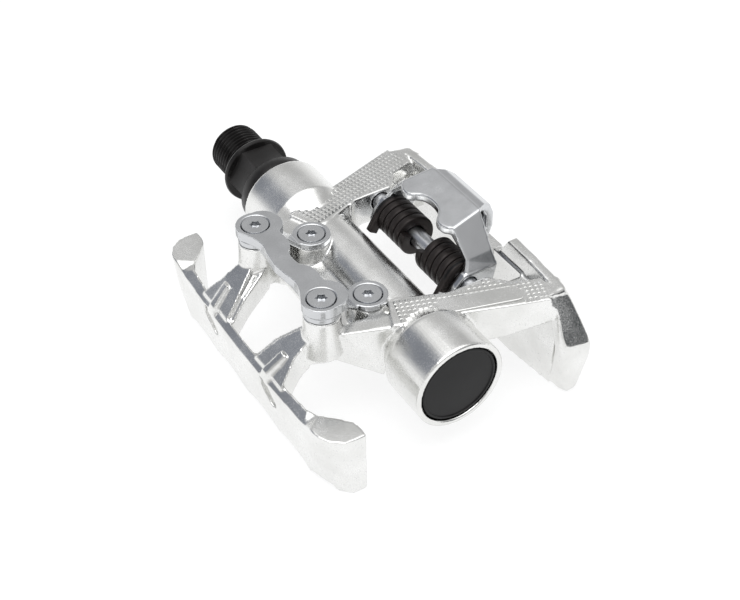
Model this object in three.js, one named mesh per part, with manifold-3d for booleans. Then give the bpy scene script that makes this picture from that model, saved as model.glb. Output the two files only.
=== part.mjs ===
// Clipless bicycle pedal: a one-piece cast cage with a cleat binding on its upper side.
// Millimetres. X runs along the axle towards the end cap, +Y to the rear, +Z up.
// The model is drawn about the axle's axis and then lifted to stand on the ground.
import * as THREE from 'three';
import { mergeVertices } from 'three/addons/utils/BufferGeometryUtils.js';
import { ConvexGeometry } from 'three/addons/geometries/ConvexGeometry.js';
import Module from 'manifold-3d';

const wasm = await Module();
wasm.setup();

// ---- Driving dimensions -------------------------------------------------------------------
const AXLE_HEIGHT = 18.6; // axle axis above the ground the cage stands on
const CAGE_HALF_WIDTH = 42.3; // hooks and horns, along X
const FRONT_REACH = 36.2; // axle axis to the front rail's face
const REAR_REACH = 38.4; // axle axis to the rearmost part of the horns
const GAP = 0.3; // between touching pieces

const THREAD_RADIUS = 7.14; // 9/16 inch crank thread
const SPINDLE_END = -71.2; // free end of the crank thread
const THREAD_LENGTH = 13.2;
const WRENCH_FLATS = 15; // across the spindle's hexagon
const COLLAR_RADIUS = 10.2;
const JOURNAL_RADIUS = 6.2;
const BEARING_JOURNAL_RADIUS = 4;
const NUT_THREAD_RADIUS = 3.5;

const BARREL_RADIUS = 11.75;
const BARREL_INBOARD = -41.7;
const BARREL_OUTBOARD = 41.3;
const TUBE_RADIUS = 8.8;
const CAP_RADIUS = 10;

const STRIP_TOP = 8.9; // under the tips of the knurling
const RAIL_TOP = -1.1;
const FOOT = -AXLE_HEIGHT;

const POST = { x: 15.8, y: -21.2, radius: 4.4, top: 12.5 };
const BOSS = { x: 13.3, y: -7.4, radius: 4.5, top: 8.6 };
const WEAR_PLATE_THICKNESS = 1.5;
const CLAW_THICKNESS = 2.5;
const CLAW_TOP = POST.top + GAP + WEAR_PLATE_THICKNESS + GAP + CLAW_THICKNESS;
const EYELET_TOP = BOSS.top + GAP + WEAR_PLATE_THICKNESS;
const SCREW = { shank: 1.9, head: 3.25, headDepth: 1.9, hole: 2.25, clawLength: 12, eyeletLength: 8 };

const PIN = { y: 17.5, z: 5.5, radius: 2.3, outboardEnd: 24.4, inboardEnd: -25.4 };
const JAW_THICKNESS = 2.2;
const LEG_X = 17.7; // middle of the jaw's legs
const COIL = { inner: 2.7, outer: 14.7, radius: 5.2, rings: 6, groove: 0.5, bore: 2.9 };
const TENSION = { y: 32.6, z: 9.6, shank: 1.9, head: 2.7, headLength: 1.3, length: 12 };

// ---- Materials ----------------------------------------------------------------------------
const metal = (colour, roughness) =>
  new THREE.MeshStandardMaterial({ color: colour, roughness, metalness: 1 });
const castAluminium = metal(0xd6d6d4, 0.28);
const blackSteel = metal(0x1b1a1a, 0.45);
const platedSteel = metal(0xb9bec4, 0.32);
const springSteel = metal(0x2a2524, 0.5);
const brightSteel = metal(0xc8ccd0, 0.18);
const bronze = metal(0xa8834f, 0.4);
const blackPlastic = new THREE.MeshStandardMaterial({ color: 0x161616, roughness: 0.5 });
const rubber = new THREE.MeshStandardMaterial({ color: 0x202020, roughness: 0.8 });

// ---- Solid helpers ------------------------------------------------------------------------
function solidOf(geometry) {
  const bare = geometry.index ? geometry.toNonIndexed() : geometry.clone();
  for (const extra of ['normal', 'uv']) bare.deleteAttribute(extra);
  const merged = mergeVertices(bare, 1e-4);
  const corners = [];
  const index = merged.index.array;
  for (let i = 0; i < index.length; i += 3) {
    const [a, b, c] = [index[i], index[i + 1], index[i + 2]];
    if (a !== b && b !== c && c !== a) corners.push(a, b, c);
  }
  return new wasm.Manifold(new wasm.Mesh({
    numProp: 3,
    vertProperties: Float32Array.from(merged.attributes.position.array),
    triVerts: Uint32Array.from(corners),
  }));
}

const join = (solids) => solids.reduce((whole, next) => whole.add(next));
const cut = (solid, tools) => tools.reduce((rest, tool) => rest.subtract(tool), solid);

function meshOf(name, solid, material) {
  const data = solid.getMesh();
  const geometry = new THREE.BufferGeometry();
  geometry.setAttribute('position', new THREE.BufferAttribute(data.vertProperties, 3));
  geometry.setIndex(new THREE.BufferAttribute(data.triVerts, 1));
  geometry.computeVertexNormals();
  const mesh = new THREE.Mesh(geometry, material);
  mesh.name = name;
  return mesh;
}

// A round bar along X, with its own radius at each end.
function barX(radius, from, to, { y = 0, z = 0, endRadius = radius, sides = 32 } = {}) {
  const bar = new THREE.CylinderGeometry(endRadius, radius, to - from, sides);
  bar.rotateZ(-Math.PI / 2).translate((from + to) / 2, y, z);
  return solidOf(bar);
}

function barY(radius, from, to, { x = 0, z = 0, endRadius = radius, sides = 20 } = {}) {
  const bar = new THREE.CylinderGeometry(endRadius, radius, to - from, sides);
  bar.translate(x, (from + to) / 2, z);
  return solidOf(bar);
}

function barZ(radius, from, to, { x = 0, y = 0, endRadius = radius, sides = 20 } = {}) {
  const bar = new THREE.CylinderGeometry(endRadius, radius, to - from, sides);
  bar.rotateX(Math.PI / 2).translate(x, y, (from + to) / 2);
  return solidOf(bar);
}

// A body of revolution about X: profile points are [x, radius], listed from one end to the other.
function turnedX(profile, sides = 32) {
  const points = profile.map(([x, radius]) => new THREE.Vector2(radius, x));
  const turned = new THREE.LatheGeometry(points, sides);
  turned.rotateZ(-Math.PI / 2);
  const solid = solidOf(turned);
  return solid.volume() > 0 ? solid : solidOf(turned.scale(1, 1, -1));
}

// A plate with a flat outline in plan, between two heights.
function plate(outline, bottom, top) {
  const shape = outline instanceof THREE.Shape ? outline : shapeOf(outline);
  const depth = top - bottom;
  const slab = new THREE.ExtrudeGeometry(shape, { depth, bevelEnabled: false, curveSegments: 6 });
  return solidOf(slab.translate(0, 0, bottom));
}

// A plate whose outline is [y, z] points, between two places along X.
function plateX(outline, from, to) {
  const depth = to - from;
  const slab = new THREE.ExtrudeGeometry(shapeOf(outline), { depth, bevelEnabled: false });
  slab.applyMatrix4(new THREE.Matrix4().set(0, 0, 1, from, 1, 0, 0, 0, 0, 1, 0, 0, 0, 0, 0, 1));
  return solidOf(slab);
}

function shapeOf(points) {
  return new THREE.Shape(points.map(([u, v]) => new THREE.Vector2(u, v)));
}

// The smallest convex solid round a list of [x, y, z] corners.
function hull(corners) {
  return solidOf(new ConvexGeometry(corners.map((corner) => new THREE.Vector3(...corner))));
}

// A chain of convex solids between neighbouring sections, each a list of [x, y, z] corners.
function loft(sections) {
  return join(sections.slice(1).map((section, i) => hull([...sections[i], ...section])));
}

const mirrored = (corners, side) => corners.map(([x, ...rest]) => [side * x, ...rest]);
const bothSides = (build) => [-1, 1].flatMap((side) => build(side));

// ---- Cast cage ----------------------------------------------------------------------------
function barrelSolids() {
  return [
    barX(TUBE_RADIUS, -27, 27, { sides: 40 }),
    barX(BARREL_RADIUS, BARREL_INBOARD, -28, { sides: 48 }),
    barX(BARREL_RADIUS, -28, -22, { endRadius: TUBE_RADIUS - 0.5, sides: 48 }),
    barX(BARREL_RADIUS, 28, BARREL_OUTBOARD, { sides: 48 }),
    barX(TUBE_RADIUS - 0.5, 22, 28, { endRadius: BARREL_RADIUS, sides: 48 }),
  ];
}

// The splayed side bar under each knurled strip, with the lug that holds the jaw's pin.
function stripSolids(side) {
  const front = [[24.6, -7.6], [16.5, -4.2], [18.6, 3.5], [27.4, 3.5]];
  const middle = [[27.4, 3.5], [18.6, 3.5], [21.6, 11], [32.9, 19], [27.8, 19]];
  const rear = [[32.9, 19], [24.2, 17], [28.2, 31.5], [36.9, 31.5]];
  const block = (outline, bottoms) => hull(mirrored([
    ...outline.map(([x, y]) => [x, y, STRIP_TOP]),
    ...outline.map(([x, y], i) => [x, y, bottoms[i]]),
  ], side));
  const lug = plate(mirrored([[19.8, 8], [21, 9.4], [21.2, 20.6], [25.5, 24.5], [30, 22], [28, 8]], side),
    0, STRIP_TOP);
  const ledge = hull(mirrored([
    [9, 31.4, 4.8], [21, 31.4, 4.8], [9, 34, 4.8], [21, 34, 4.8],
    [9, 32.4, -1], [21, 32.4, -1], [9, 34, -1], [21, 34, -1],
  ], side));
  const rib = hull(mirrored([
    [21, 27.2, 4.4], [23.2, 27.2, 4.4], [21, 32, 4.4], [23.2, 32, 4.4],
    [21, 28, -1], [26, 26, -1], [21, 33, -1], [26, 33, -1], [27, 26, 4.4], [27, 32, 4.4],
  ], side));
  return [
    ledge, rib,
    block(front, [-6, -4, -2, -2]),
    block(middle, [-2, -2, -1.5, -0.6, -1]),
    block(rear, [-0.6, -1, 2, 2.2]),
    lug,
  ];
}

// The shoulder between a post and the barrel, and the neck that ties it to the tube.
function shoulderSolids(side) {
  const top = 8.2;
  const outer = [
    [14.2, -16.6, top], [19.2, -19.8, top], [20.4, -18.6, top], [22.6, -8.6, top],
    [25, -6, top], [14.2, -6, top],
    [13, -17, -1.6], [17.2, -19.4, -1.6], [17.6, -18, -1.6], [19.6, -11, -3.4],
    [23.6, -9, -7], [13, -9, -7],
  ];
  const recess = plate(mirrored([[12, -17.2], [17.6, -17.2], [17.6, -10.2], [12, -12.6]], side), 0.6, 20);
  return [cut(hull(mirrored(outer, side)), [recess])];
}

// The bridge across the cage under the claw, joined to the front of the tube.
function bridgeSolids() {
  const halfWidth = 14;
  const profile = [[-16.4, 3.6], [-16.8, 1], [-15.6, -2], [-8, -6.4], [-4, -6], [-4, 5.5], [-8, 4.6],
    [-12, 3.2]];
  return [plateX(profile, -halfWidth, halfWidth)];
}

// A post with its screw boss, standing on the root of the arm.
function postSolids(side) {
  return [
    barZ(POST.radius + 0.5, 1.5, POST.top, { x: side * POST.x, y: POST.y, endRadius: POST.radius, sides: 28 }),
    barZ(BOSS.radius + 0.6, -2, BOSS.top, { x: side * BOSS.x, y: BOSS.y, endRadius: BOSS.radius, sides: 28 }),
  ];
}

// The arm that slopes from a post down to the front rail, with a lower flange on its inner side.
function armSolids(side) {
  const section = (inner, outer, y, top, depth) => [
    [inner, y, top], [outer, y, top], [inner + 0.6, y + 1.5, top - depth], [outer - 0.6, y + 1.5, top - depth],
  ];
  const flange = (inner, y, top, depth) => [
    [inner - 1.6, y, top - 1.2], [inner + 1, y, top - 1.2],
    [inner - 1.6, y + 1, top - depth], [inner + 1, y + 1, top - depth],
  ];
  const beam = loft([
    section(12.6, 18.4, -21.5, 8.6, 8.4),
    section(12.2, 16.9, -25, 7.1, 7.8),
    section(9.3, 17.6, -29.6, 3.8, 7.6),
    section(7.3, 20, -34.6, -1.1, 6.6),
  ].map((corners) => mirrored(corners, side)));
  const lip = loft([
    flange(12.6, -21.5, 8, 7.6), flange(9.3, -29.4, 3.8, 7), flange(7.3, -34.4, -1.1, 6),
  ].map((corners) => mirrored(corners, side)));
  const pad = hull(mirrored([
    [13.4, -30.9, 3.9], [15.5, -30.7, 3.9], [12.3, -35.6, -0.4], [14.4, -35.6, -0.4],
    [13, -30.2, 1], [15.9, -30, 1], [11.7, -36.2, -3], [15, -36.2, -3],
  ], side));
  const web = hull(mirrored([
    [15, -24.4, 7], [18.6, -23.8, 6], [20, -21.4, 6], [20.2, -18.6, 8],
    [14.6, -25.6, -0.6], [16.4, -25, -1.4], [17.4, -21.6, -1.8], [17.6, -18, -1.8], [14, -18, -1.6],
  ], side));
  return [beam, lip, pad, web];
}

// The front rail: a gently bowed wall that leans in at its foot, whose ends turn back into hooks.
// Between the hooks its top is cut to the slope of the arms, and drop is the height that takes off.
function frontRail() {
  const bellyHeight = -10;
  const half = [
    // x, front edge, rear edge, front edge of the foot, drop
    [0, -FRONT_REACH, -34.2, -34.1, 1.7], [16, -35.9, -33.8, -34, 1.7], [28.4, -35.3, -32.7, -34, 1.7],
    [31.4, -35.2, -31.2, -34, 1.4], [34.6, -35.5, -28.2, -33.1, 0], [37.4, -35, -25.9, -32.2, 0],
    [39.9, -33.6, -25.3, -31.2, 0], [42, -30.9, -25.4, -29, 0], [CAGE_HALF_WIDTH, -28.4, -25.6, -27.4, 0],
  ];
  const stations = [...half.slice(1).reverse().map(([x, ...edges]) => [-x, ...edges]), ...half];
  const rail = loft(stations.map(([x, front, rear, foot, drop]) => [
    [x, front, RAIL_TOP - drop], [x, rear, RAIL_TOP],
    [x, front + (foot - front) * 0.3, bellyHeight],
    [x, foot, FOOT], [x, Math.max(foot + 2.4, rear), FOOT],
  ]));
  const scallopRadius = 16;
  const scallopDepth = 1.9;
  const scallops = [-23.9, -8.45, 8.45, 23.9].map((x) =>
    barY(scallopRadius, -45, -20, { x, z: FOOT - scallopRadius + scallopDepth, sides: 64 }));
  const hookReliefs = bothSides((side) => [hull(mirrored([
    [31.4, -50, FOOT - 4], [39, -50, FOOT - 4], [39, -20, FOOT - 4], [31.4, -20, FOOT - 4],
    [31.4, -50, FOOT + 1], [38.4, -50, FOOT + 1], [38.4, -20, FOOT + 1], [31.4, -20, FOOT + 1],
  ], side))]);
  const slots = bothSides((side) => [hull([
    ...slotEnd(side * 14.6 - 1.7, -4.6), ...slotEnd(side * 14.6 + 1.7, -7.6),
  ])]);
  return cut(rail, [...scallops, ...hookReliefs, ...slots]);
}

// One round end of a slanted slot in the front face.
function slotEnd(x, z) {
  const radius = 1.8;
  const steps = 12;
  return Array.from({ length: steps }, (_, i) => (2 * Math.PI * i) / steps).flatMap((angle) =>
    [-40, -33].map((y) => [x + radius * Math.cos(angle), y, z + radius * Math.sin(angle)]));
}

// The rear wall, from the level of the strips down to the ground, leaning in at its foot.
function rearWall() {
  const section = (x, bow, innerFoot) => [
    [x, 33.1 - bow, STRIP_TOP + 0.4 - bow / 3], [x, 35.7 - bow, STRIP_TOP + 0.4 - bow / 3],
    [x, 37.2 - bow, 2], [x, 32.4 - bow, 0], [x, 37 - bow, -8], [x, 31.4 - bow * 0.5, -10],
    [x, innerFoot, FOOT], [x, 33.8 - bow * 0.3, FOOT],
  ];
  const wall = loft([
    section(-36.4, 1.4, 30.4), section(-20, 0.4, 28.9), section(0, 0, 28.4), section(20, 0.4, 28.9),
    section(36.4, 1.4, 30.4),
  ]);
  const scoop = hull([
    [-13.5, 30, 30], [13.5, 30, 30], [-13.5, 45, 30], [13.5, 45, 30],
    [-13.5, 30, 9.6], [13.5, 30, 9.6], [-13.5, 45, 9.6], [13.5, 45, 9.6],
    [-9, 30, 1.2], [9, 30, 1.2], [-9, 45, 1.2], [9, 45, 1.2],
  ]);
  return cut(wall, [scoop]);
}

// The horn at each rear corner, which carries the wall round and forward.
function hornSolids(side) {
  return [
    hull(mirrored([
      [30, 33.4, 8.8], [30, 35.4, 8.8], [35.8, 31.2, 8.6], [36.6, 33.6, 7.8],
      [34, 30.6, 2], [34, 36.4, 0], [38.2, 30.6, 5.6], [40.2, 35.4, 4],
      [41.6, REAR_REACH - 0.3, -4], [41.9, 29.4, -5], [39, 28.6, -4], [36, 37, -6],
    ], side)),
    hull(mirrored([
      [36, 37, -6], [41.6, REAR_REACH - 0.3, -4], [41.9, 29.4, -5], [39, 28.6, -4], [38, 32, -6],
      [CAGE_HALF_WIDTH, 30.4, -9], [41.8, REAR_REACH, -8], [39.4, 29.2, -9],
      [36, 34.6, FOOT + 0.6], [36.4, 30.6, FOOT + 0.6], [39.6, 30.8, FOOT], [42, 31.8, FOOT + 0.3],
      [42, 34.6, FOOT + 0.6], [39.4, 35.6, FOOT],
    ], side)),
  ];
}

// What is ground off the top outer corner of a rear horn, leaving a sloping flat.
function hornFacet(side) {
  const flatX = (y, z) => (37.02 - 0.09 * y - 0.5 * z) / 0.86;
  const corners = [29, 45].flatMap((y) => [-6, 14].flatMap((z) => [[flatX(y, z), y, z], [60, y, z]]));
  return hull(mirrored(corners, side));
}

function cageCuts() {
  return [
    ...bothSides((side) => [hornFacet(side)]),
    barX(JOURNAL_RADIUS + 2.2, BARREL_INBOARD - 1, -38.2, { sides: 32 }),
    barX(JOURNAL_RADIUS + 1.7, -39, -25, { sides: 32 }),
    barX(JOURNAL_RADIUS + 0.5, -26, 23, { sides: 32 }),
    barX(8.3, 22.6, 29.4, { sides: 32 }),
    barX(9, 29.2, 38.2, { sides: 32 }),
    barX(CAP_RADIUS + GAP, 37.9, BARREL_OUTBOARD + 1, { sides: 48 }),
    barX(PIN.radius + GAP, 18, PIN.outboardEnd + GAP, { y: PIN.y, z: PIN.z, sides: 20 }),
    barX(PIN.radius + GAP, -40, -18, { y: PIN.y, z: PIN.z, sides: 20 }),
    ...bothSides((side) => [
      barZ(SCREW.hole, CLAW_TOP - SCREW.clawLength - 1, 30, { x: side * POST.x, y: POST.y }),
      barZ(SCREW.hole, EYELET_TOP - SCREW.eyeletLength - 1, 30, { x: side * BOSS.x, y: BOSS.y }),
    ]),
  ];
}

function pedalBody() {
  const solids = [
    ...barrelSolids(), ...bothSides(stripSolids), ...bothSides(shoulderSolids), ...bridgeSolids(),
    ...bothSides(postSolids), ...bothSides(armSolids), frontRail(), rearWall(), ...bothSides(hornSolids),
  ];
  return meshOf('pedal_body', cut(join(solids), cageCuts()), castAluminium);
}

// ---- Spindle and its bearings -------------------------------------------------------------
function spindle() {
  const threadStart = SPINDLE_END + THREAD_LENGTH;
  const collar = -46.8;
  const turned = turnedX([
    [SPINDLE_END, 0], [SPINDLE_END, THREAD_RADIUS - 1], [SPINDLE_END + 1, THREAD_RADIUS],
    [threadStart - 1, THREAD_RADIUS], [threadStart - 1, 8.6], [threadStart, 9.4], [collar - 8, 9.6],
    [collar, COLLAR_RADIUS], [-43, COLLAR_RADIUS], [-42.2, COLLAR_RADIUS - 0.8], [-42.2, JOURNAL_RADIUS],
    [-25, JOURNAL_RADIUS], [-21, 5], [20, 5], [22.9, 5], [22.9, BEARING_JOURNAL_RADIUS],
    [29.6, BEARING_JOURNAL_RADIUS], [29.6, NUT_THREAD_RADIUS], [36.4, NUT_THREAD_RADIUS], [36.4, 0],
  ], 36);
  const flats = Array.from({ length: 6 }, (_, i) => {
    const flat = new THREE.BoxGeometry(collar - threadStart - 1.6, 20, 6);
    flat.translate((collar + threadStart) / 2 + 0.2, 0, WRENCH_FLATS / 2 + 3);
    return solidOf(flat.rotateX((Math.PI * i) / 3 + Math.PI / 6));
  });
  const keyDepth = 6;
  const key = barX(3.46, SPINDLE_END - 1, SPINDLE_END + keyDepth, { sides: 6 });
  return meshOf('spindle', cut(turned, [...flats, key]), blackSteel);
}

function ring(name, inner, outer, from, to, material, sides = 32) {
  const hole = barX(inner, from - 1, to + 1, { sides });
  return meshOf(name, barX(outer, from, to, { sides }).subtract(hole), material);
}

function bearingBalls() {
  const count = 7;
  const pitchRadius = 6;
  return Array.from({ length: count }, (_, i) => {
    const angle = (2 * Math.PI * i) / count;
    const ball = new THREE.SphereGeometry(1.3, 10, 8);
    ball.translate(25.8, pitchRadius * Math.cos(angle), pitchRadius * Math.sin(angle));
    return meshOf(`bearing_ball_${i + 1}`, solidOf(ball), brightSteel);
  });
}

// A race with a groove for the balls on one face.
function race(name, profile, material) {
  return meshOf(name, turnedX(profile, 32), material);
}

function outerRace() {
  return race('bearing_outer_race', [
    [23.3, 6.9], [23.3, 8], [28.3, 8], [28.3, 6.9], [27, 6.9], [26.6, 7.5], [25, 7.5], [24.6, 6.9],
    [23.3, 6.9],
  ], brightSteel);
}

function innerRace() {
  return race('bearing_inner_race', [
    [23.3, 4.3], [23.3, 5.1], [24.6, 5.1], [25, 4.5], [26.6, 4.5], [27, 5.1], [28.3, 5.1], [28.3, 4.3],
    [23.3, 4.3],
  ], brightSteel);
}

function lockNut() {
  const flatRadius = 11 / Math.sqrt(3);
  const nut = barX(flatRadius, 30.8, 35.2, { sides: 6 });
  const bore = barX(NUT_THREAD_RADIUS + GAP, 30, 36, { sides: 24 });
  return meshOf('lock_nut', nut.subtract(bore), platedSteel);
}

function endCap() {
  const cap = turnedX([
    [38.2, 0], [38.2, 8.8], [39.4, 8.8], [39.4, CAP_RADIUS], [40.6, CAP_RADIUS], [40.9, CAP_RADIUS - 0.3],
    [40.9, 0],
  ], 48);
  return meshOf('end_cap', cap, blackPlastic);
}

// ---- Cleat claw, wear plate and their screws ----------------------------------------------
function clawShape() {
  const half = new THREE.Shape();
  half.moveTo(0, -19.7);
  half.lineTo(2.6, -19.5);
  half.quadraticCurveTo(4.4, -17.4, 6.6, -17.3);
  half.lineTo(10.6, -17.4);
  half.quadraticCurveTo(12.4, -14.7, 15, -14.6);
  half.quadraticCurveTo(19.4, -14.8, 20.3, -18.4);
  half.absarc(POST.x, POST.y, 4.8, 0.3, -Math.PI * 0.56, true);
  half.quadraticCurveTo(12.6, -24.8, 11, -24.1);
  half.quadraticCurveTo(8, -22.9, 5, -24);
  half.lineTo(0, -24.6);
  const right = half.getPoints(5);
  const left = right.slice(1, -1).reverse().map((p) => new THREE.Vector2(-p.x, p.y));
  return new THREE.Shape([...right, ...left]);
}

const holes = (centres, radius) =>
  centres.map(([x, y]) => barZ(radius, -5, 40, { x, y, sides: 24 }));
const postCentres = [[-POST.x, POST.y], [POST.x, POST.y]];
const bossCentres = [[-BOSS.x, BOSS.y], [BOSS.x, BOSS.y]];

// The conical seat that a countersunk head rests in.
const countersink = ([x, y], top) => barZ(SCREW.hole, top - SCREW.headDepth - 0.4, top + 0.1,
  { x, y, endRadius: SCREW.head + 0.5, sides: 24 });

function cleatClaw() {
  const plan = plate(clawShape(), CLAW_TOP - CLAW_THICKNESS, CLAW_TOP);
  const seats = postCentres.map((centre) => countersink(centre, CLAW_TOP));
  return meshOf('cleat_claw', cut(plan, [...holes(postCentres, SCREW.hole), ...seats]), platedSteel);
}

// A thin plate clamped under the claw, whose two links step down to the rear screw bosses.
function wearPlate() {
  const high = POST.top + GAP;
  const low = BOSS.top + GAP;
  const strap = plate([[-17.4, -23.2], [-11, -22.9], [11, -22.9], [17.4, -23.2], [17.4, -19.4], [11, -19.6],
    [-11, -19.6], [-17.4, -19.4]], high, high + WEAR_PLATE_THICKNESS);
  const links = bothSides((side) => [
    barZ(POST.radius, high, high + WEAR_PLATE_THICKNESS, { x: side * POST.x, y: POST.y, sides: 28 }),
    barZ(BOSS.radius + 0.3, low, low + WEAR_PLATE_THICKNESS, { x: side * BOSS.x, y: BOSS.y, sides: 28 }),
    hull(mirrored([
      [12.8, -19, high], [18, -19, high], [12.8, -19, high + WEAR_PLATE_THICKNESS],
      [18, -19, high + WEAR_PLATE_THICKNESS], [12.4, -16.6, high], [17, -16.6, high],
      [12.4, -16.6, high + WEAR_PLATE_THICKNESS], [17, -16.6, high + WEAR_PLATE_THICKNESS],
    ], side)),
    hull(mirrored([
      [12.4, -16.6, high], [17, -16.6, high], [12.4, -16.6, high + WEAR_PLATE_THICKNESS],
      [17, -16.6, high + WEAR_PLATE_THICKNESS], [11, -12, low], [15.6, -12, low],
      [11, -12, low + WEAR_PLATE_THICKNESS], [15.6, -12, low + WEAR_PLATE_THICKNESS],
    ], side)),
    hull(mirrored([
      [11, -12.2, low], [15.6, -12.2, low], [11, -12.2, low + WEAR_PLATE_THICKNESS],
      [15.6, -12.2, low + WEAR_PLATE_THICKNESS], [10.4, -9, low], [16, -9, low],
      [10.4, -9, low + WEAR_PLATE_THICKNESS], [16, -9, low + WEAR_PLATE_THICKNESS],
    ], side)),
  ]);
  const plan = join([strap, ...links]);
  const shanks = holes([...postCentres, ...bossCentres], SCREW.hole);
  const seats = bossCentres.map((centre) => countersink(centre, EYELET_TOP));
  return meshOf('wear_plate', cut(plan, [...shanks, ...seats]), platedSteel);
}

function plateScrew(name, [x, y], top, length) {
  const coneDepth = 1.4;
  const rim = top - 0.5;
  const head = barZ(SCREW.shank, rim - coneDepth, rim, { x, y, endRadius: SCREW.head, sides: 24 });
  const face = barZ(SCREW.head, rim, top, { x, y, sides: 24 });
  const shank = barZ(SCREW.shank, top - length, rim, { x, y, sides: 16 });
  const lobes = 6;
  const star = Array.from({ length: 2 * lobes }, (_, i) => {
    const angle = (Math.PI * i) / lobes;
    const radius = i % 2 ? 1.05 : 1.5;
    return [x + radius * Math.cos(angle), y + radius * Math.sin(angle)];
  });
  return meshOf(name, cut(join([shank, head, face]), [plate(star, top - 1.3, top + 1)]), platedSteel);
}

// ---- Rear jaw, its pin, springs and tension adjuster --------------------------------------
// The jaw's top rises to the rear. Two lobes of its front edge hold the cleat's tail.
function jawTopPlate() {
  const slope = 0.2;
  const lip = new THREE.Shape();
  lip.moveTo(-11.3, 17.6);
  lip.bezierCurveTo(-9.4, 15.6, -6.4, 15.2, -5, 17.2);
  lip.quadraticCurveTo(-3.6, 19.2, 0, 19.2);
  lip.quadraticCurveTo(3.6, 19.2, 5, 17.2);
  lip.bezierCurveTo(6.4, 15.2, 9.4, 15.6, 11.3, 17.6);
  lip.lineTo(10.2, 26);
  lip.lineTo(-10.2, 26);
  const slab = new THREE.ExtrudeGeometry(lip, { depth: JAW_THICKNESS, bevelEnabled: false, curveSegments: 7 });
  slab.translate(0, -17.6, 18 - JAW_THICKNESS);
  slab.applyMatrix4(new THREE.Matrix4().makeShear(0, 0, 0, slope, 0, 0));
  return solidOf(slab.translate(0, 17.6, 0));
}

// The jaw is an arch of steel plate: a flat top, sloping cheeks, and upright legs round the pin.
function rearJaw() {
  const t = JAW_THICKNESS;
  const top = jawTopPlate();
  const backSection = (half, y, z, ny, nz) => [
    [-half, y, z], [half, y, z], [-half, y - ny * t, z - nz * t], [half, y - ny * t, z - nz * t],
  ];
  const back = loft([
    backSection(10.1, 25.6, 19.6, 0, 1), backSection(8.6, 28.4, 19.3, 0.3, 0.95),
    backSection(7.8, 30.9, 17.6, 0.8, 0.6), backSection(7.6, 32.2, 14.6, 1, 0),
    backSection(7.6, 32.3, 10.6, 1, 0), backSection(6.4, 32.2, 6.4, 1, 0),
  ]);
  const cheeks = bothSides((side) => [
    hull(mirrored([
      [11.3, 17.6, 18], [10.2, 26, 19.7], [16.9, 17.9, 11.9], [16.9, 25.3, 12.2],
      [9.6, 17.6, 18 - t], [8.6, 26, 19.7 - t], [15.9, 17.9, 11], [15.9, 25.3, 11.2],
    ], side)),
    hull(mirrored([
      [16.9, 17.9, 11.9], [16.9, 25.3, 12.2], [15.9, 17.9, 11], [15.9, 25.3, 11.2],
      [18.8, 16.4, 8], [18.8, 25.8, 9], [16.6, 16.4, 7.6], [16.6, 25.8, 8.6],
    ], side)),
  ]);
  const leg = [[16.2, 9], [13.8, 6.4], [12.6, 3.6], [13.2, 0.8], [16, -0.4], [20.6, -0.2], [24.4, 3],
    [25.8, 8.9]];
  const legs = bothSides((side) => [
    plateX(leg, side > 0 ? LEG_X - t / 2 : -LEG_X - t / 2, side > 0 ? LEG_X + t / 2 : -LEG_X + t / 2),
  ]);
  const pinHole = barX(PIN.radius + GAP, -30, 30, { y: PIN.y, z: PIN.z, sides: 24 });
  const screwHole = barY(TENSION.shank + GAP, 28, 40, { z: TENSION.z });
  const solid = cut(join([top, back, ...cheeks, ...legs]), [pinHole, screwHole]);
  return meshOf('rear_jaw', solid, platedSteel);
}

function pivotPin() {
  const pin = barX(PIN.radius, PIN.inboardEnd, PIN.outboardEnd, { y: PIN.y, z: PIN.z, sides: 24 });
  return meshOf('jaw_pivot_pin', pin, brightSteel);
}

// A close-wound coil: a sleeve with one rounded ring for each turn of wire.
function coilSpring(name, side) {
  const pitch = (COIL.outer - COIL.inner) / COIL.rings;
  const profile = [[COIL.inner, COIL.bore]];
  for (let i = 0; i < COIL.rings; i += 1) {
    const start = COIL.inner + i * pitch;
    profile.push([start, COIL.radius - COIL.groove], [start + pitch * 0.25, COIL.radius]);
    profile.push([start + pitch * 0.75, COIL.radius]);
  }
  profile.push([COIL.outer, COIL.radius - COIL.groove], [COIL.outer, COIL.bore], [COIL.inner, COIL.bore]);
  const placed = profile.map(([x, radius]) => [side * x, radius]);
  const sleeve = turnedX(placed, 24).translate([0, PIN.y, PIN.z]);
  return meshOf(name, sleeve, springSteel);
}

function coilWasher(name, side) {
  const [from, to] = side > 0 ? [COIL.outer + GAP, 15.7] : [-15.7, -COIL.outer - GAP];
  const disc = barX(5.3, from, to, { y: PIN.y, z: PIN.z, sides: 24 });
  const bore = barX(COIL.bore, from - 1, to + 1, { y: PIN.y, z: PIN.z, sides: 24 });
  return meshOf(name, disc.subtract(bore), blackPlastic);
}

function tensionScrew() {
  const headEnd = TENSION.y + TENSION.headLength;
  const head = barY(TENSION.head, TENSION.y, headEnd, { z: TENSION.z, sides: 28 });
  const shank = barY(TENSION.shank, headEnd - TENSION.length, TENSION.y + 0.5, { z: TENSION.z });
  const key = barY(1.5, headEnd - 1.2, headEnd + 1, { z: TENSION.z, sides: 6 });
  return meshOf('tension_screw', join([head, shank]).subtract(key), blackSteel);
}

function tensionPlate() {
  const block = new THREE.BoxGeometry(11, 3, 6.4);
  block.translate(0, 26.2, TENSION.z);
  const bore = barY(TENSION.shank + GAP, 20, 40, { z: TENSION.z });
  return meshOf('tension_plate', solidOf(block).subtract(bore), platedSteel);
}

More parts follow.
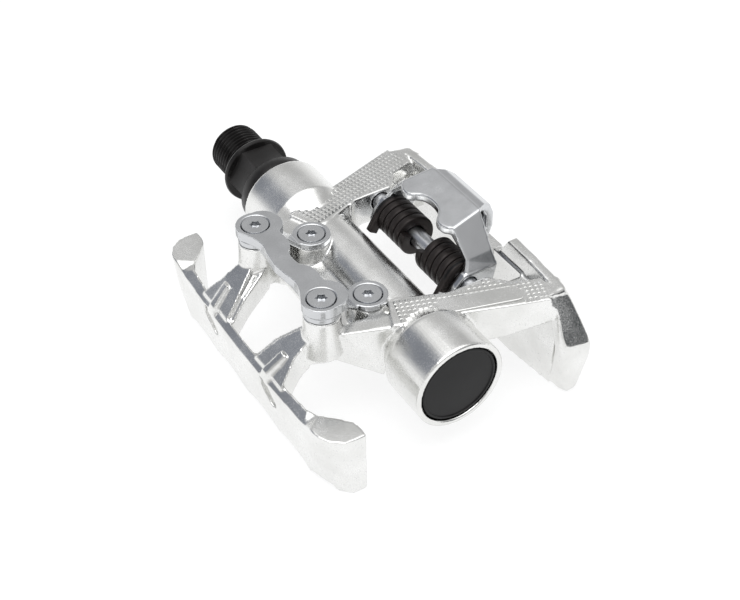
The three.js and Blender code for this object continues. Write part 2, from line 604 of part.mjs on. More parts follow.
// ---- Assembly -----------------------------------------------------------------------------
const pedal = new THREE.Group();
pedal.add(pedalBody(), spindle());
pedal.add(ring('inboard_seal', JOURNAL_RADIUS + GAP, JOURNAL_RADIUS + 1.9, -41.4, -39.4, rubber));
pedal.add(ring('inboard_bushing', JOURNAL_RADIUS + GAP, JOURNAL_RADIUS + 1.4, -38, -25.4, bronze));
pedal.add(outerRace(), innerRace(), ...bearingBalls());
pedal.add(ring('lock_washer', NUT_THREAD_RADIUS + GAP, 6.2, 29.9, 30.5, platedSteel));
pedal.add(lockNut(), endCap(), cleatClaw(), wearPlate());
pedal.add(plateScrew('claw_screw_inboard', postCentres[0], CLAW_TOP, SCREW.clawLength));
pedal.add(plateScrew('claw_screw_outboard', postCentres[1], CLAW_TOP, SCREW.clawLength));
pedal.add(plateScrew('plate_screw_inboard', bossCentres[0], EYELET_TOP, SCREW.eyeletLength));
pedal.add(plateScrew('plate_screw_outboard', bossCentres[1], EYELET_TOP, SCREW.eyeletLength));
pedal.add(rearJaw(), pivotPin(), coilSpring('spring_inboard', -1), coilSpring('spring_outboard', 1));
pedal.add(coilWasher('spring_washer_inboard', -1), coilWasher('spring_washer_outboard', 1));
pedal.add(tensionScrew(), tensionPlate());
pedal.position.set(-(SPINDLE_END + CAGE_HALF_WIDTH) / 2, (FRONT_REACH - REAR_REACH) / 2, AXLE_HEIGHT);

export default pedal;
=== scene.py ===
"""Looks for a clipless bicycle pedal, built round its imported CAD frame.

Sizes are in millimetres, measured from ORIGIN.
X runs along the axle towards the end cap, Y to the rear and Z up.
"""

import math

import bmesh
import bpy
from mathutils import Matrix, Vector


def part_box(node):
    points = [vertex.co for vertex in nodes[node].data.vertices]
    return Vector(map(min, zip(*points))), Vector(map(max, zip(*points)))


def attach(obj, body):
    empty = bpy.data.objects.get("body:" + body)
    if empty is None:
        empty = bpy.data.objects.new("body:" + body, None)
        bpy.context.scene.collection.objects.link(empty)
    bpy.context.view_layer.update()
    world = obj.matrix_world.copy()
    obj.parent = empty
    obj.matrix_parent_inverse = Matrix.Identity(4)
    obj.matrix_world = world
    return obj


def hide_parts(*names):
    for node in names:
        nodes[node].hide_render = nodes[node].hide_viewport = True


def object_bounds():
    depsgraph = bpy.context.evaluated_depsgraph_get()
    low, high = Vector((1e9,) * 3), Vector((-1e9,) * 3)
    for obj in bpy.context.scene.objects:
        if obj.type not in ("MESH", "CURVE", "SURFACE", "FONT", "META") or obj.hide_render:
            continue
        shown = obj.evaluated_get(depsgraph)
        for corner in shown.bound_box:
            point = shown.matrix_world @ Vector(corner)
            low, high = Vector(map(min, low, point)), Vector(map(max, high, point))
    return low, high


MM = 0.001

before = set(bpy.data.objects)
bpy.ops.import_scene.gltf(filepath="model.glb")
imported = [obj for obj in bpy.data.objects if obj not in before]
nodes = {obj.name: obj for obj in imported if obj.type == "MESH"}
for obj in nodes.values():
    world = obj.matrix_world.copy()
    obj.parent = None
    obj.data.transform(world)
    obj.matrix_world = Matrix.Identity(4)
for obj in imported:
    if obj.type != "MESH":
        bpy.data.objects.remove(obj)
cad_low, cad_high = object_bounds()

# On the axle's axis, in the middle of the cage.
cap_low, cap_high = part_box("end_cap")
claw_low, claw_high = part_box("cleat_claw")
ORIGIN = Vector((
    (claw_low.x + claw_high.x) / 2, (cap_low.y + cap_high.y) / 2, (cap_low.z + cap_high.z) / 2,
))

# ---- Sizes shared by several pieces ---------------------------------------------------------
BARREL_RADIUS = 11.75
BARREL_INBOARD = -41.7
BARREL_OUTBOARD = 41.3
BARREL_FROM = 28  # each end of the barrel starts this far from the middle
SHOULDER_FROM = 22  # and its shoulder slopes down to the tube between there and here
SHOULDER_RADIUS = 8.3
TUBE_RADIUS = 8.8
AXLE_BORE = 6.95
POST_X, POST_Y, POST_TOP = 15.8, -21.2, 12.5  # under the claw
BOSS_X, BOSS_Y, BOSS_TOP = 13.3, -7.4, 8.6  # under the eyelets
PIN_Y, PIN_Z = 17.5, 5.5  # the jaw's pivot
STRIP_TOP = 8.9  # under the knurling
KNURL_PITCH = 1.3


def at(x, y, z):
    """The place in the scene, in metres."""
    return ORIGIN + Vector((x, y, z)) * MM


def local(co):
    """The other way round: millimetres from ORIGIN."""
    return (co - ORIGIN) / MM


# ---- Materials ------------------------------------------------------------------------------
class Nodes:
    """A short way to write a node tree."""

    def __init__(self, tree):
        self.tree = tree
        tree.nodes.clear()

    def add(self, kind, settings=None, **inputs):
        node = self.tree.nodes.new(kind)
        for key, value in (settings or {}).items():
            setattr(node, key, value)
        for key, value in inputs.items():
            self.put(node, key.replace("_", " "), value)
        return node

    def put(self, node, socket, value):
        """Links or sets a socket, given by its name or as # and its number."""
        target = node.inputs[int(socket[1:]) if socket[0] == "#" else socket]
        if isinstance(value, bpy.types.NodeSocket):
            self.tree.links.new(value, target)
        else:
            target.default_value = value

    def noise(self, vector, scale, detail=3.0, roughness=0.55):
        made = self.add("ShaderNodeTexNoise", Vector=vector, Scale=scale, Detail=detail, Roughness=roughness)
        return made.outputs["Fac"]

    def grey_ramp(self, value, stops):
        node = self.add("ShaderNodeValToRGB", Fac=value)
        ramp = node.color_ramp
        while len(ramp.elements) < len(stops):
            ramp.elements.new(0.5)
        for element, (position, level) in zip(ramp.elements, stops):
            element.position = position
            element.color = (level, level, level, 1)
        return node.outputs["Color"]

    def span(self, value, low, high, to_low, to_high):
        node = self.add("ShaderNodeMapRange", Value=value)
        for i, number in enumerate((low, high, to_low, to_high)):
            node.inputs[i + 1].default_value = number
        return node.outputs["Result"]

    def math(self, operation, a, b):
        node = self.add("ShaderNodeMath", {"operation": operation})
        self.put(node, "#0", a)
        self.put(node, "#1", b)
        return node.outputs[0]

    def mix(self, factor, a, b):
        node = self.add("ShaderNodeMix", {"data_type": "RGBA"})
        self.put(node, "#0", factor)
        self.put(node, "#6", a)
        self.put(node, "#7", b)
        return node.outputs[2]


def object_place(n, stretch=(1, 1, 1)):
    """Object coordinates in millimetres."""
    source = n.add("ShaderNodeTexCoord").outputs["Object"]
    mapping = n.add("ShaderNodeMapping", Vector=source)
    mapping.inputs["Scale"].default_value = [1000 * s for s in stretch]
    return mapping.outputs["Vector"]


def new_material(name):
    made = bpy.data.materials.new(name)
    made.use_nodes = True
    return made, Nodes(made.node_tree)


def finish_material(n, colour, roughness, height, bump, metallic, distance):
    """The shader, with height as bumps of that strength and distance in metres."""
    normal = n.add("ShaderNodeBump", Strength=bump, Distance=distance, Height=height)
    shader = n.add("ShaderNodeBsdfPrincipled", Metallic=metallic)
    n.put(shader, "Base Color", colour)
    n.put(shader, "Roughness", roughness)
    n.put(shader, "Normal", normal.outputs["Normal"])
    n.add("ShaderNodeOutputMaterial", Surface=shader.outputs["BSDF"])
    return shader


def cast_metal():
    """Polished casting: bright, with a fine speckle and cloudier patches."""
    made, n = new_material("cast_aluminium_polished")
    p = object_place(n)
    clouds = n.noise(p, 0.10, 3)
    grain = n.noise(p, 2.6, 2, 0.7)
    fine = n.noise(p, 7.0, 2, 0.6)
    tone = n.mix(n.span(clouds, 0.35, 0.65, 0, 1), (0.77, 0.77, 0.755, 1), (0.86, 0.86, 0.85, 1))
    colour = n.mix(n.span(grain, 0.60, 0.72, 0, 0.45), tone, (0.50, 0.51, 0.53, 1))
    rough = n.math("ADD", n.span(clouds, 0.35, 0.65, 0.14, 0.24), n.span(grain, 0.45, 0.75, 0, 0.16))
    height = n.math("ADD", n.math("MULTIPLY", grain, 0.8), n.math("MULTIPLY", fine, 0.5))
    finish_material(n, colour, rough, height, 0.32, 1.0, 0.00004)
    return made


def satin_metal(name, dark, light, roughness, grain_scale, bump, stretch=(1, 1, 1)):
    """Plain metal with an even grain, which stretch can draw out along an axis."""
    made, n = new_material(name)
    p = object_place(n, stretch)
    clouds = n.noise(p, 0.2, 3)
    grain = n.noise(p, grain_scale, 3, 0.65)
    colour = n.mix(n.span(clouds, 0.3, 0.7, 0, 1), (*dark, 1), (*light, 1))
    cloudy = n.span(clouds, 0.3, 0.7, roughness - 0.04, roughness + 0.05)
    rough = n.math("ADD", cloudy, n.span(grain, 0.4, 0.7, 0, 0.06))
    finish_material(n, colour, rough, grain, bump, 1.0, 0.00003)
    return made


def black_metal(name, base, roughness, bump, scratch):
    """Black oxide on steel: nearly black, with rubbed places where the steel shows."""
    made, n = new_material(name)
    p = object_place(n)
    clouds = n.noise(p, 0.5, 4)
    grain = n.noise(p, 5.0, 3, 0.7)
    rub = n.math("MULTIPLY", n.span(grain, 0.60, 0.74, 0, scratch), n.span(clouds, 0.45, 0.6, 0, 1))
    colour = n.mix(rub, (*base, 1), (0.22, 0.21, 0.2, 1))
    rough = n.span(clouds, 0.3, 0.7, roughness - 0.06, roughness + 0.08)
    shader = finish_material(n, colour, rough, grain, bump, 0.55, 0.00004)
    shader.inputs["Specular IOR Level"].default_value = 0.45
    return made


def dark_plastic(name, base, roughness, bump, grain_scale):
    """Moulded black plastic or rubber, with lighter clouds."""
    made, n = new_material(name)
    p = object_place(n)
    grain = n.noise(p, grain_scale, 3, 0.6)
    clouds = n.noise(p, 0.3, 3)
    lighter = tuple(c * 1.5 + 0.001 for c in base)
    colour = n.mix(n.span(clouds, 0.35, 0.65, 0, 0.5), (*base, 1), (*lighter, 1))
    rough = n.span(grain, 0.35, 0.65, roughness - 0.05, roughness + 0.07)
    shader = finish_material(n, colour, rough, grain, bump, 0.0, 0.00004)
    shader.inputs["Specular IOR Level"].default_value = 0.22
    return made


CAST = cast_metal()
PLATED = satin_metal("zinc_plated_steel", (0.60, 0.61, 0.625), (0.63, 0.64, 0.655), 0.19, 4.0, 0.07)
BRIGHT = satin_metal("ground_steel", (0.60, 0.61, 0.63), (0.70, 0.71, 0.73), 0.27, 4.0, 0.05, (0.15, 1, 1))
BRONZE = satin_metal("sintered_bronze", (0.42, 0.27, 0.12), (0.52, 0.36, 0.17), 0.38, 8.0, 0.3)
BLACK = black_metal("black_oxide_steel", (0.017, 0.016, 0.016), 0.36, 0.2, 0.35)
COIL = black_metal("black_spring_steel", (0.026, 0.021, 0.020), 0.42, 0.12, 0.1)
CAP = dark_plastic("moulded_black_plastic", (0.004, 0.004, 0.0045), 0.34, 0.06, 9.0)
RUBBER = dark_plastic("seal_rubber", (0.014, 0.014, 0.014), 0.62, 0.2, 6.0)


# ---- Mesh helpers ---------------------------------------------------------------------------
def add_object(name, mesh, surface, body, replaced=()):
    """A finished piece that rides on a body. replaced lists the CAD nodes that it stands in for."""
    made = bpy.data.objects.new(name, mesh)
    bpy.context.scene.collection.objects.link(made)
    made.data.materials.clear()
    made.data.materials.append(surface)
    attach(made, body)
    if replaced:
        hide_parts(*replaced)


def mesh_from(bm, name, smooth=True):
    bmesh.ops.recalc_face_normals(bm, faces=bm.faces)
    mesh = bpy.data.meshes.new(name)
    bm.to_mesh(mesh)
    bm.free()
    for polygon in mesh.polygons:
        polygon.use_smooth = smooth
    return mesh


def crisp_mesh(bm, name, sharp_angle):
    """A smooth mesh that stays sharp at edges steeper than sharp_angle, in degrees."""
    mesh = mesh_from(bm, name)
    mesh.set_sharp_from_angle(angle=math.radians(sharp_angle))
    return mesh


def copy_of(node):
    """The CAD node's own mesh, with its points joined up."""
    bm = bmesh.new()
    bm.from_mesh(nodes[node].data)
    bmesh.ops.remove_doubles(bm, verts=bm.verts, dist=1e-6)
    return bm


def temporary(mesh):
    made = bpy.data.objects.new("temp", mesh)
    bpy.context.scene.collection.objects.link(made)
    return made


def baked(made):
    """The object's mesh with its modifiers applied, as a new mesh; the object is removed."""
    graph = bpy.context.evaluated_depsgraph_get()
    mesh = bpy.data.meshes.new_from_object(made.evaluated_get(graph))
    bpy.data.objects.remove(made)
    return mesh


def smooth_by(made, name, steps):
    modifier = made.modifiers.new(name, "SMOOTH")
    modifier.factor = 0.5
    modifier.iterations = steps
    return modifier


def remeshed(bm, name, voxel, smooth_steps, most_triangles, regions=()):
    """One skin round everything in bm, with its edges rounded over, thinned to most_triangles.
    regions are (share of a point, steps) for places that are rounded more."""
    temp = temporary(mesh_from(bm, name))
    skin = temp.modifiers.new("skin", "REMESH")
    skin.mode = "VOXEL"
    skin.voxel_size = voxel * MM
    skin.use_smooth_shade = True
    smooth_by(temp, "soften", smooth_steps)
    mesh = baked(temp)
    temp = temporary(mesh)
    for i, (share, steps) in enumerate(regions):
        group = temp.vertex_groups.new(name=f"region{i}")
        for v in mesh.vertices:
            weight = share(v.co)
            if weight > 0:
                group.add([v.index], weight, "REPLACE")
        smooth_by(temp, f"soften{i}", steps).vertex_group = group.name
    triangles = 2 * len(mesh.polygons)
    if triangles > most_triangles:
        temp.modifiers.new("thin", "DECIMATE").ratio = most_triangles / triangles
    mesh = baked(temp)
    mesh.name = name
    for polygon in mesh.polygons:
        polygon.use_smooth = True
    return mesh


def join_rings(bm, rings, closed=False):
    """Faces between each ring of points and the next. A ring may be one point repeated."""
    following = rings[1:] + rings[:1] if closed else rings[1:]
    for low, high in zip(rings, following):
        for k in range(len(low)):
            after = (k + 1) % len(low)
            corners = list(dict.fromkeys([low[k], low[after], high[after], high[k]]))
            if len(corners) > 2:
                bm.faces.new(corners)


def circle(sides):
    """The angles of a circle's points."""
    return [2 * math.pi * k / sides for k in range(sides)]


def lathe_x(bm, profile, sides, closed=True):
    """Turns [x, radius] points round the axle. A closed profile makes a ring."""
    rings = []
    for x, radius in profile:
        if radius == 0:
            rings.append([bm.verts.new(at(x, 0, 0))] * sides)
            continue
        places = [at(x, radius * math.cos(a), radius * math.sin(a)) for a in circle(sides)]
        rings.append([bm.verts.new(place) for place in places])
    join_rings(bm, rings, closed)


def swept(bm, path, section, outwards):
    """A closed tube along path. section gives [side, up] offsets, where up is outwards(point)."""
    rings = []
    for i, point in enumerate(path):
        ahead = path[min(i + 1, len(path) - 1)] - path[max(i - 1, 0)]
        along = ahead.normalized()
        side = along.cross(outwards(point)).normalized()
        up = side.cross(along).normalized()
        rings.append([bm.verts.new(point + side * a + up * b) for a, b in section])
    join_rings(bm, rings)
    bm.faces.new(rings[0])
    bm.faces.new(rings[-1])


def stamped(name, node, body, voxel, smooth_steps, most_triangles):
    """A plated CAD node with all its edges rounded over, as a pressed piece has them."""
    mesh = remeshed(copy_of(node), name, voxel, smooth_steps, most_triangles)
    add_object(name, mesh, PLATED, body, [node])


def soften_node(name, surface, width):
    """A carried-over CAD node: its edges rounded, and its material."""
    node = nodes[name]
    node.modifiers.new("weld", "WELD").merge_threshold = 1e-6
    bevel = node.modifiers.new("edges", "BEVEL")
    bevel.width = width * MM
    bevel.segments = 2
    bevel.limit_method = "ANGLE"
    bevel.angle_limit = math.radians(28)
    bevel.harden_normals = False
    if not node.material_slots:
        node.data.materials.append(surface)
    for slot in node.material_slots:
        slot.material = surface
    for polygon in node.data.polygons:
        polygon.use_smooth = True
    node.modifiers.new("shade", "WEIGHTED_NORMAL")


# ---- The cast cage --------------------------------------------------------------------------
def casting():
    """The CAD cage under one rounded skin, with finer round faces than the CAD's flats."""
    bm = copy_of("pedal_body")
    sleeve(bm, (BARREL_INBOARD, 10.9, BARREL_RADIUS), (-BARREL_FROM, 10.9, BARREL_RADIUS))
    sleeve(bm, (BARREL_FROM, 10.6, BARREL_RADIUS), (BARREL_OUTBOARD, 10.6, BARREL_RADIUS))
    for side in (-1, 1):
        sleeve(bm, (side * BARREL_FROM, 11, BARREL_RADIUS), (side * SHOULDER_FROM, 7.6, SHOULDER_RADIUS))
        boss_ring(bm, side * POST_X, POST_Y, 1.5, POST_TOP, 4.9, 4.4)
        boss_ring(bm, side * BOSS_X, BOSS_Y, -2, BOSS_TOP, 5.1, 4.5)
    sleeve(bm, (-27, 7.9, TUBE_RADIUS), (27, 7.9, TUBE_RADIUS))
    mesh = remeshed(bm, "cast_cage", 0.33, 4, 190000, [
        (round_horns, 45), (round_saddles, 14), (round_hooks, 18),
    ])
    inset = 0.01 * MM
    for v in mesh.vertices:
        v.co = ground_facet(v.co)
        v.co = Vector([min(max(c, a + inset), b - inset) for c, a, b in zip(v.co, cad_low, cad_high)])
    add_object("cast_cage", mesh, CAST, "cage", ["pedal_body"])


def sleeve(bm, start, end):
    """A turned skin round the axle. start and end are (x, inner radius, outer radius)."""
    (x0, inner0, outer0), (x1, inner1, outer1) = start, end
    lathe_x(bm, [(x0, inner0), (x0, outer0), (x1, outer1), (x1, inner1)], 192)


def boss_ring(bm, x, y, low, high, foot_radius, top_radius):
    """A tapered tube standing on end, whose foot stops above the axle's bore."""
    hole = 3
    rings = []
    for radius, z in ((hole, low), (foot_radius, low), (top_radius, high), (hole, high)):
        rings.append([])
        for angle in circle(96):
            back = y + radius * math.sin(angle)
            over = math.sqrt(AXLE_BORE ** 2 - back ** 2) if abs(back) < AXLE_BORE else low
            rings[-1].append(bm.verts.new(at(x + radius * math.cos(angle), back, max(z, over))))
    join_rings(bm, rings, closed=True)


def rise(distance, width):
    """0 before a band and 1 beyond it. distance is how far past the band's start."""
    return min(1, max(0, distance / width))


def fall(distance, width):
    """1 before a band and 0 beyond it."""
    return min(1, max(0, 1 - distance / width))


def round_horns(co):
    """1 on the rear horns, past the ends of the knurled strips."""
    p = local(co)
    corner = rise(abs(p.x) - 33, 2) * rise(p.y - 30.6, 1.2)
    outer = rise(abs(p.x) - 37, 1.2) * rise(p.y - 26.5, 1.5)
    return max(corner, outer)


def round_hooks(co):
    """1 where the front rail's sloped top runs out into the hooks."""
    p = local(co)
    return fall(abs(abs(p.x) - 33) - 2, 1.5) * rise(-29 - p.y, 2) * rise(p.z + 4, 1.5)


def round_saddles(co):
    """1 where the barrel, tube, strips and shoulders run into each other."""
    p = local(co)
    spread = fall(abs(abs(p.x) - 23.5) - 5, 2) * rise(13.5 - abs(p.y), 2)
    bridge = rise(15 - abs(p.x), 2) * rise(p.y + 18, 2) * rise(-3 - p.y, 2)
    return max(spread if p.z < STRIP_TOP - 0.4 else 0, bridge if p.z < 7 else 0)


def ground_facet(co):
    """The point, kept on the flat that the CAD cuts across the top of each rear horn."""
    p = local(co)
    if p.y < 29 or abs(p.x) < 35:
        return co
    facing = Vector((0.86, 0.09, 0.5)).normalized()
    on_flat = Vector((35.3, 31, 7.4))
    over = Vector((abs(p.x), p.y, p.z)).dot(facing) - on_flat.dot(facing)
    return co - Vector((math.copysign(facing.x, p.x), facing.y, facing.z)) * max(0, over) * MM


# ---- The knurled strips ---------------------------------------------------------------------
def inside(point, outline):
    """True if the point is inside the outline, a list of corners in order."""
    x, y = point
    odd = False
    for (x0, y0), (x1, y1) in zip(outline, outline[1:] + outline[:1]):
        if (y0 > y) != (y1 > y) and x < (x1 - x0) * (y - y0) / (y1 - y0) + x0:
            odd = not odd
    return odd


def clearance(point, outline):
    """Distance from a point to the outline's nearest edge."""
    p = Vector(point)
    distances = []
    for a, b in zip(outline, outline[1:] + outline[:1]):
        start = Vector(a)
        edge = Vector(b) - start
        share = max(0, min(1, (p - start).dot(edge) / edge.length_squared))
        distances.append((p - start - edge * share).length)
    return min(distances)


def under_barrel(p):
    """True where the barrel or its shoulder stands higher than the strip."""
    share = max(0, abs(p.x) - SHOULDER_FROM) / (BARREL_FROM - SHOULDER_FROM)
    slope = SHOULDER_RADIUS + (BARREL_RADIUS - SHOULDER_RADIUS) * share
    radius = BARREL_RADIUS if abs(p.x) > BARREL_FROM else slope
    return radius ** 2 - p.y ** 2 > (STRIP_TOP + 0.1) ** 2


def knurling(name, side, blank=None):
    """Rows of small pyramids over a strip's top. blank is an outline that is left smooth."""
    outline = [(side * x, y) for x, y in [
        (24.3, -6.9), (28.2, 4.2), (32.6, 17.6), (35.5, 28), (34, 30.4), (28.6, 31.2),
        (24.9, 23.6), (21.6, 20.2), (21.3, 9.4), (18.6, 2.6), (17.2, -3.4),
    ]]
    start = Vector(outline[0])
    along = Vector((side * 12.0, 37.3)).normalized()  # the way the strip's outer edge runs
    across = Vector((along.y, -along.x))
    half = KNURL_PITCH / 2
    foot_z, tip_z, tip_share = STRIP_TOP - 0.12, STRIP_TOP + 0.56, 0.24
    bm = bmesh.new()
    # More rows than the strip holds: what falls outside it is skipped.
    for i in range(-2, 42):
        for j in range(-14, 14):
            centre = start + along * (i + 0.5) * KNURL_PITCH + across * (j + 0.5) * KNURL_PITCH
            if not inside(centre, outline) or clearance(centre, outline) < half * 1.05:
                continue
            if blank and (inside(centre, blank) or clearance(centre, blank) < half):
                continue
            if under_barrel(centre):
                continue
            base = [centre + along * a * half + across * b * half
                    for a, b in ((-1, -1), (1, -1), (1, 1), (-1, 1))]
            foot = [bm.verts.new(at(q.x, q.y, foot_z)) for q in base]
            tip = [bm.verts.new(at(*(centre + (q - centre) * tip_share), tip_z)) for q in base]
            bm.faces.new(foot)
            bm.faces.new(tip)
            join_rings(bm, [foot, tip])
    add_object(name, mesh_from(bm, name, False), CAST, "cage")


def blank_pad():
    """The smooth raised field in the middle of the outboard strip. Returns its outline."""
    front, rear = Vector((25.3, 6.4)), Vector((29.9, 22.6))
    radius, roundness = 2.6, 0.75
    ridge = 8.7  # half the line that the pad's top closes in on
    along = (rear - front).normalized()
    across = Vector((along.y, -along.x))
    centre = (front + rear) / 2
    outline = []
    for end, start in ((rear, 0), (front, math.pi)):
        for k in range(17):
            angle = start + math.pi * k / 16
            sideways = across * radius * math.cos(angle)
            outline.append(end + sideways + along * radius * roundness * math.sin(angle))
    bm = bmesh.new()
    rings = []
    for share, height in ((1.0, -0.2), (1.0, 0.22), (0.97, 0.34), (0.9, 0.38)):
        rings.append([])
        for q in outline:
            nearest = centre + along * max(-ridge, min(ridge, (q - centre).dot(along)))
            rings[-1].append(bm.verts.new(at(*(nearest + (q - nearest) * share), STRIP_TOP + height)))
    join_rings(bm, rings)
    bm.faces.new(rings[0])
    bm.faces.new(rings[-1])
    add_object("strip_pad", mesh_from(bm, "strip_pad", False), CAST, "cage")
    return [tuple(q) for q in outline]


# ---- Spindle --------------------------------------------------------------------------------
def spindle():
    """Helical crank thread, wrench hexagon and collar in one turned piece."""
    sides = 96
    pitch, depth, crest = 1.27, 0.72, 7.14
    start, end = -71.2, -58.4
    key_corner, key_depth = 3.46, 6
    bm = bmesh.new()

    def ring(x, radius):
        return [bm.verts.new(at(x, radius(x, a) * math.cos(a), radius(x, a) * math.sin(a)))
                for a in circle(sides)]

    def thread(x, angle):
        phase = ((x - start) / pitch - angle / (2 * math.pi)) % 1.0
        tooth = min(1.0, max(0.0, 1.45 - abs(phase - 0.5) * 4.4))
        fade = min(1.0, max(0.0, (x - start) / 1.3), max(0.0, (end - x) / 0.9))
        chamfer = 0.35 if x - start < 0.3 else 0
        return crest - depth + depth * tooth * (0.25 + 0.75 * fade) - chamfer

    def hexagon(flat, corner):
        return lambda _x, angle: min(flat / math.cos(angle % (math.pi / 3) - math.pi / 6), corner)

    def turned(radius):
        return lambda _x, _angle: radius

    key_rings = [
        [bm.verts.new(at(x, key_corner * math.cos(a), key_corner * math.sin(a))) for a in circle(6)]
        for x in (start, start + key_depth)
    ]
    bm.faces.new(key_rings[1])
    join_rings(bm, key_rings)

    step = pitch / 8
    rings = [ring(start + i * step, thread) for i in range(int((end - start) / step) + 1)]

    # The end face joins the thread's first ring to the key socket.
    per = sides // 6
    for k in range(6):
        arc = [rings[0][(k * per + m) % sides] for m in range(per + 1)]
        bm.faces.new([key_rings[0][k]] + arc + [key_rings[0][(k + 1) % 6]])

    relief = [(-58.3, turned(6.5)), (-58.2, turned(6.6))]
    flange = [(-58.2, turned(8.9)), (-58.0, turned(9.3)), (-57.6, turned(9.45)), (-56.9, turned(9.3)),
              (-56.7, turned(9.1))]
    wrench = [(-56.5, hexagon(7.6, 8.9)), (-56.2, hexagon(7.5, 8.8)), (-48.3, hexagon(7.5, 8.8)),
              (-47.9, hexagon(7.7, 9.2)), (-47.6, hexagon(8.4, 9.8))]
    collar = [(-46.9, turned(9.9)), (-46.5, turned(10.15)), (-43.3, turned(10.2)), (-42.7, turned(9.95)),
              (-42.25, turned(9.3))]
    journals = [(-42.2, turned(6.2)), (-25, turned(6.2)), (-21, turned(5)), (22.9, turned(5)),
                (22.9, turned(4)), (29.6, turned(4))]
    nut_thread = [(29.6, turned(3.5)), (36, turned(3.5)), (36.4, turned(3.1))]
    for x, radius in relief + flange + wrench + collar + journals + nut_thread:
        rings.append(ring(x, radius))
    join_rings(bm, rings)
    bm.faces.new(rings[-1])
    mesh = crisp_mesh(bm, "spindle_turned", 32)
    add_object("spindle_turned", mesh, BLACK, "spindle", ["spindle"])


# ---- Springs --------------------------------------------------------------------------------
def wire_section():
    """The wire's outline: nearly square, deeper towards the coil's axis than along it."""
    half_wide, half_deep, corner = 1.04, 1.3, 0.45
    section = []
    for across, out, start in ((1, 1, 0), (-1, 1, 90), (-1, -1, 180), (1, -1, 270)):
        for k in range(4):
            angle = math.radians(start + 30 * k)
            section.append(((across * (half_wide - corner) + corner * math.cos(angle)) * MM,
                            (out * (half_deep - corner) + corner * math.sin(angle)) * MM))
    return section


def coil(name, side, node):
    """A close coil, whose outer end runs on as a leg down to the axle tube."""
    radius, pitch, turns = 3.88, 2.3, 5.0
    first = 3.75  # from the middle of the pin to the first turn
    leg_length = 6
    begin = math.radians(150)
    steps = int(turns * 40)
    path = []
    for i in range(steps + 1):
        angle = begin + 2 * math.pi * turns * i / steps
        x = side * (first + pitch * turns * i / steps)
        path.append(at(x, PIN_Y + radius * math.cos(angle), PIN_Z + radius * math.sin(angle)))
    leg = Vector((0, -math.sin(begin), math.cos(begin)))
    path += [path[-1] + leg * reach * MM for reach in range(1, leg_length + 1)]
    pin = at(0, PIN_Y, PIN_Z)

    def from_pin(point):
        return Vector((0, point.y - pin.y, point.z - pin.z)).normalized()

    bm = bmesh.new()
    swept(bm, path, wire_section(), from_pin)
    add_object(name, crisp_mesh(bm, name, 40), COIL, "cage", [node])


# ---- End cap --------------------------------------------------------------------------------
def end_cap():
    """A moulded plug with a rounded rim and a face that is slightly crowned inside it."""
    plug = [(38.2, 0), (38.2, 8.8), (39.4, 8.8)]
    rim = [(39.4, 9.95), (40.45, 10.0), (40.75, 9.85), (40.88, 9.55), (40.84, 9.3), (40.62, 9.15)]
    face = [(40.62, 8.6), (40.74, 4.0), (40.78, 0)]
    bm = bmesh.new()
    lathe_x(bm, plug + rim + face, 128, closed=False)
    mesh = crisp_mesh(bm, "end_cap_moulded", 40)
    add_object("end_cap_moulded", mesh, CAP, "cage", ["end_cap"])


def build_pieces():
    casting()
    pad = blank_pad()
    knurling("knurling_inboard", -1)
    knurling("knurling_outboard", 1, pad)
    spindle()
    coil("coil_inboard", -1, "spring_inboard")
    coil("coil_outboard", 1, "spring_outboard")
    end_cap()
    stamped("claw_pressed", "cleat_claw", "cage", 0.15, 6, 60000)
    stamped("wear_plate_pressed", "wear_plate", "cage", 0.16, 5, 50000)
    stamped("jaw_pressed", "rear_jaw", "jaw", 0.2, 16, 90000)
    small_screws = [f"{held}_screw_{end}" for held in ("claw", "plate") for end in ("inboard", "outboard")]
    bearing = ["bearing_outer_race", "bearing_inner_race"] + [f"bearing_ball_{i}" for i in range(1, 8)]
    for surface, width, names in (
        (PLATED, 0.16, small_screws),
        (BLACK, 0.15, ["tension_screw"]),
        (PLATED, 0.2, ["tension_plate", "lock_nut"]),
        (BRIGHT, 0.25, ["jaw_pivot_pin"]),
        (CAP, 0.12, ["spring_washer_inboard", "spring_washer_outboard"]),
        (RUBBER, 0.15, ["inboard_seal"]),
        (BRONZE, 0.1, ["inboard_bushing"]),
        (PLATED, 0.08, ["lock_washer"]),
        (BRIGHT, 0.05, bearing),
    ):
        for name in names:
            soften_node(name, surface, width)


# ---- Stage ----------------------------------------------------------------------------------
def floor():
    """A pale floor that is evenly lit, with a soft shadow under the pedal."""
    bm = bmesh.new()
    bmesh.ops.create_grid(bm, x_segments=1, y_segments=1, size=6)
    made = bpy.data.objects.new("floor", mesh_from(bm, "floor"))
    bpy.context.scene.collection.objects.link(made)
    made.location.z = cad_low.z - 0.02 * MM
    surface, n = new_material("floor")
    shader = n.add("ShaderNodeBsdfPrincipled", Roughness=0.8)
    for socket, value in (
        ("Base Color", (0.26, 0.262, 0.264, 1)),
        ("Specular IOR Level", 0.0),
        ("Emission Color", (1, 1, 1, 1)),
        ("Emission Strength", 0.80),
    ):
        shader.inputs[socket].default_value = value
    n.add("ShaderNodeOutputMaterial", Surface=shader.outputs["BSDF"])
    made.data.materials.append(surface)


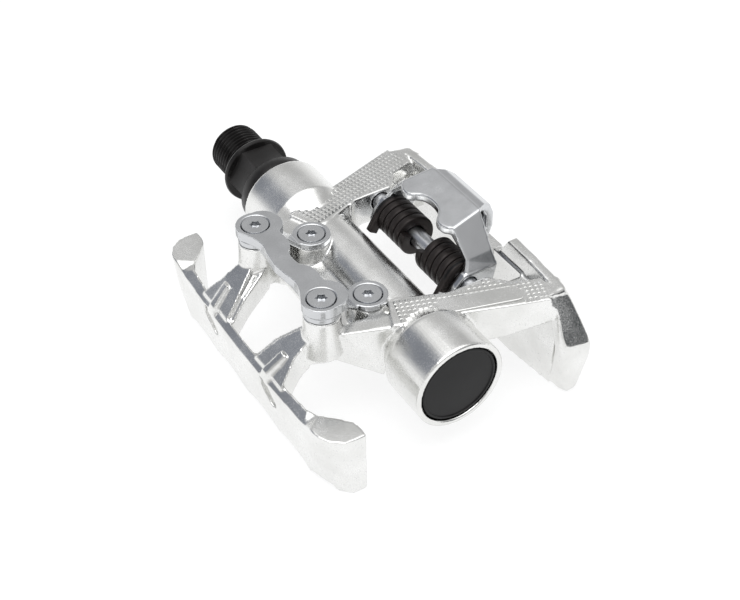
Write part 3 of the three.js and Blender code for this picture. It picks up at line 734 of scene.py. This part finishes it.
def studio():
    """A soft white room: bright walls, a brighter ceiling panel, a grey band between, and dark flags."""
    world = bpy.data.worlds.new("studio")
    world.use_nodes = True
    bpy.context.scene.world = world
    n = Nodes(world.node_tree)
    toward = n.add("ShaderNodeTexCoord").outputs["Generated"]
    height = n.add("ShaderNodeSeparateXYZ", Vector=toward).outputs["Z"]
    colour = n.grey_ramp(n.span(height, -1, 1, 0, 1), [
        (0.0, 0.9), (0.52, 0.95), (0.62, 0.8), (0.74, 0.5), (0.88, 0.62), (0.95, 1.9),
    ])
    for flag, low, high, tone in (
        ((-0.65, -0.56, 0.50), 0.88, 0.97, (0.25, 0.265, 0.30, 1)),
        ((0.75, 0.65, 0.17), 0.925, 0.97, (0.07, 0.075, 0.08, 1)),
    ):
        dot = n.add("ShaderNodeVectorMath", {"operation": "DOT_PRODUCT"})
        n.put(dot, "#0", toward)
        n.put(dot, "#1", Vector(flag).normalized())
        colour = n.mix(n.span(dot.outputs["Value"], low, high, 0, 1), colour, tone)
    background = n.add("ShaderNodeBackground", Color=colour, Strength=1.0)
    n.add("ShaderNodeOutputWorld", Surface=background.outputs[0])


def overhead_lamp():
    """One large soft lamp, high over the pedal on the camera's side and aimed at it."""
    data = bpy.data.lights.new("overhead", "AREA")
    data.shape = "DISK"
    data.size = 0.7
    data.energy = 1.6
    made = bpy.data.objects.new("overhead", data)
    bpy.context.scene.collection.objects.link(made)
    made.location = (0.15, -0.25, 0.95)
    aim = Vector((0.0, 0.0, 0.02)) - made.location
    made.rotation_mode = "QUATERNION"
    made.rotation_quaternion = aim.to_track_quat("-Z", "Y")


def camera():
    """The view from the front and the end cap's side, 41 degrees up."""
    data = bpy.data.cameras.new("camera")
    data.sensor_width = 36
    data.lens = 64.58
    data.clip_start = 0.01
    data.clip_end = 20
    made = bpy.data.objects.new("camera", data)
    bpy.context.scene.collection.objects.link(made)
    back = Vector((0.6444, -0.3946, 0.6550)).normalized()
    right = Vector((0, 0, 1)).cross(back).normalized()
    up = back.cross(right)
    turn = Matrix((right, up, back)).transposed()
    roll = Matrix.Rotation(math.radians(-0.11), 3, "Z")
    made.rotation_mode = "QUATERNION"
    made.rotation_quaternion = (turn @ roll).to_quaternion()
    made.location = at(213.1, -129.2, 211.2)
    bpy.context.scene.camera = made


build_pieces()
floor()
studio()
overhead_lamp()
camera()
bpy.context.scene.view_settings.view_transform = "Standard"
